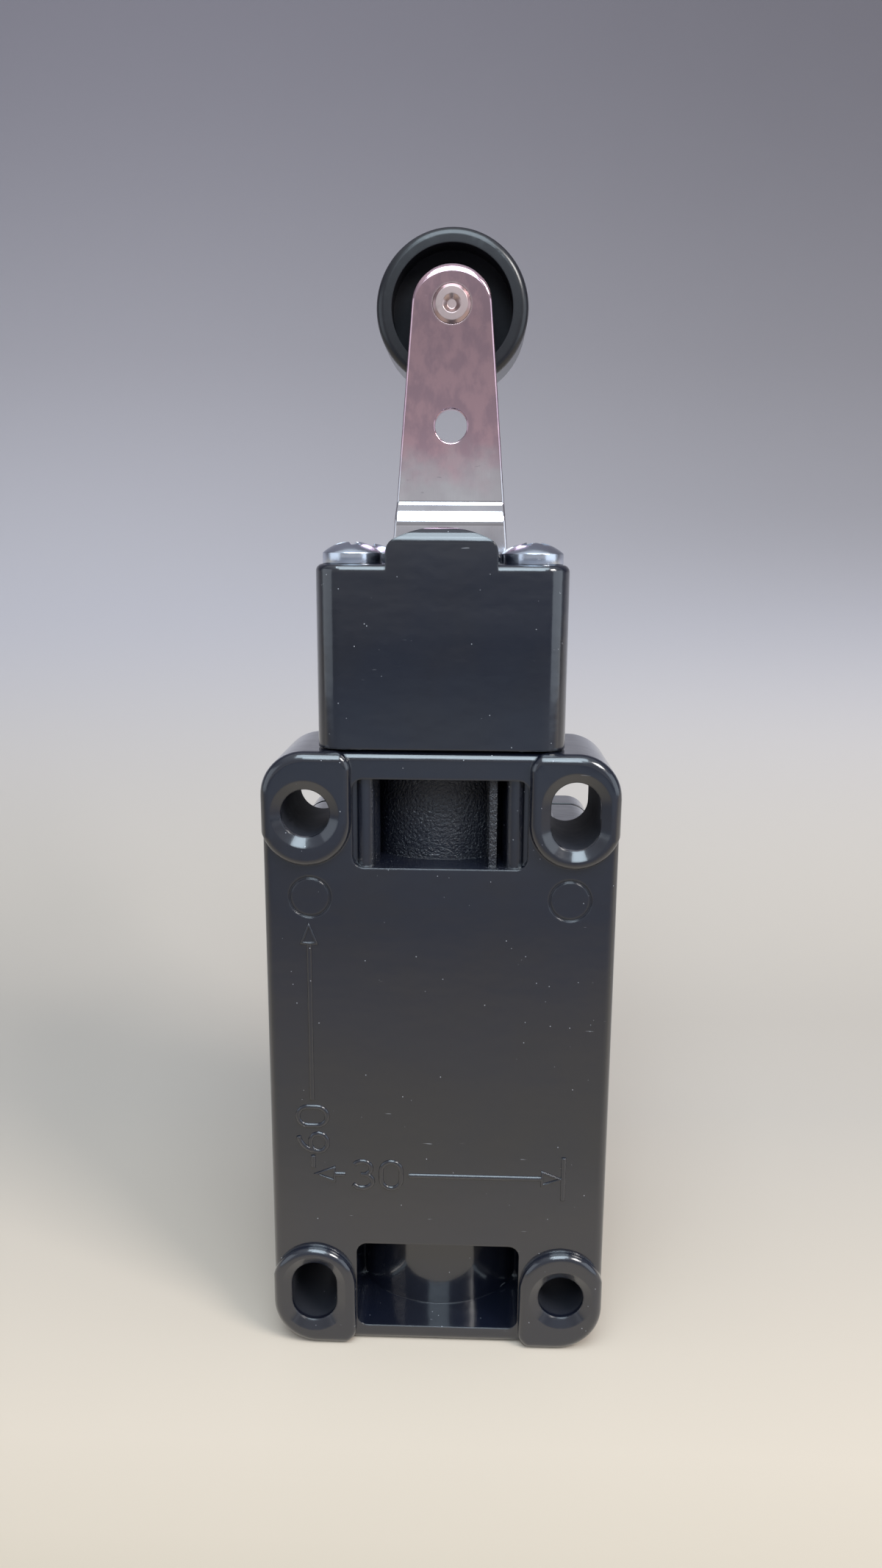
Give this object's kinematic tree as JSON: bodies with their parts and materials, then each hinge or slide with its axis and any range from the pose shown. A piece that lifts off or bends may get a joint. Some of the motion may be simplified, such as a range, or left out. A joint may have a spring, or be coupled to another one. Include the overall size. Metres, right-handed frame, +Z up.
{
  "type": "roller lever limit switch",
  "caption": "Limit switch with a die-cast body, a square rotary head and a cranked steel lever that carries a black roller; the turning lever drives the contacts inside.",
  "frame": {"origin": "centre of the mounting hole pattern, on the plane of the mounting pads", "axes": "+X across the body, to the right as seen from the mounting side; +Y from the mounting plane towards the cover and the shaft's lever end; +Z up towards the head and the roller"},
  "size_m": [0.04, 0.0509, 0.1376],
  "materials": {
    "cast_coating": "semi-gloss dark blue-grey coating on a die casting",
    "black_rubber": "matt black sealing rubber",
    "zinc_plate": "bright blue-white zinc plating",
    "lever_steel": "bright zinc plated sheet steel with a fine grain",
    "spring_steel": "plain spring steel",
    "sinter_bronze": "sintered bronze",
    "roller_plastic": "satin black moulded plastic",
    "block_plastic": "brown moulded thermoset",
    "lid_plastic": "black moulded plastic",
    "pale_plastic": "natural white moulded plastic",
    "contact_brass": "rolled brass strip"
  },
  "bodies": {
    "case": {"housing": "cast_coating", "front_cover": "cast_coating", "cover_gasket": "black_rubber", "cover_screws": "zinc_plate", "head_housing": "cast_coating", "head_gasket": "black_rubber", "head_screws": "zinc_plate", "shaft_bush": "sinter_bronze", "shaft_seal": "black_rubber", "tappet_spring": "spring_steel", "contact_base": "block_plastic", "contact_lid": "lid_plastic", "plunger_spring": "spring_steel", "break_contacts": "contact_brass", "make_contacts": "contact_brass", "terminal_clamps": "zinc_plate", "terminal_screws": "zinc_plate", "base_screws": "zinc_plate", "earth_clamp": "zinc_plate", "earth_screw": "zinc_plate"},
    "lever": {"rotary_shaft": "lever_steel", "shaft_clip": "spring_steel", "lever_arm": "lever_steel", "lock_washer": "spring_steel", "lever_nut": "zinc_plate", "roller_pin": "lever_steel", "roller_washer": "spring_steel"},
    "roller": {"roller": "roller_plastic"},
    "tappet": {"tappet": "pale_plastic"},
    "plunger": {"switch_plunger": "pale_plastic", "contact_bridge": "contact_brass", "contact_spring": "spring_steel"}
  },
  "joints": [
    {"name": "lever_turn", "type": "hinge", "parent": "case", "child": "lever", "pos_m": [0, 0.015, 0.05], "axis": [0, 1, 0], "range_deg": [-75, 75], "stiffness_Nm_per_rad": 0.15},
    {"name": "roller_spin", "type": "hinge", "parent": "lever", "child": "roller", "pos_m": [0, 0.044, 0.0904], "axis": [0, 1, 0], "continuous": true},
    {"name": "tappet_travel", "type": "slide", "parent": "case", "child": "tappet", "axis": [0, 0, -1], "range_m": [0, 0.0022], "stiffness_N_per_m": 1500, "deforming": ["tappet_spring"]},
    {"name": "plunger_travel", "type": "slide", "parent": "case", "child": "plunger", "axis": [0, 0, -1], "range_m": [0, 0.0022], "stiffness_N_per_m": 500, "deforming": ["plunger_spring"]}
  ],
  "couplings": [
    {"joint": "plunger_travel", "follows": "tappet_travel", "ratio": 1}
  ]
}
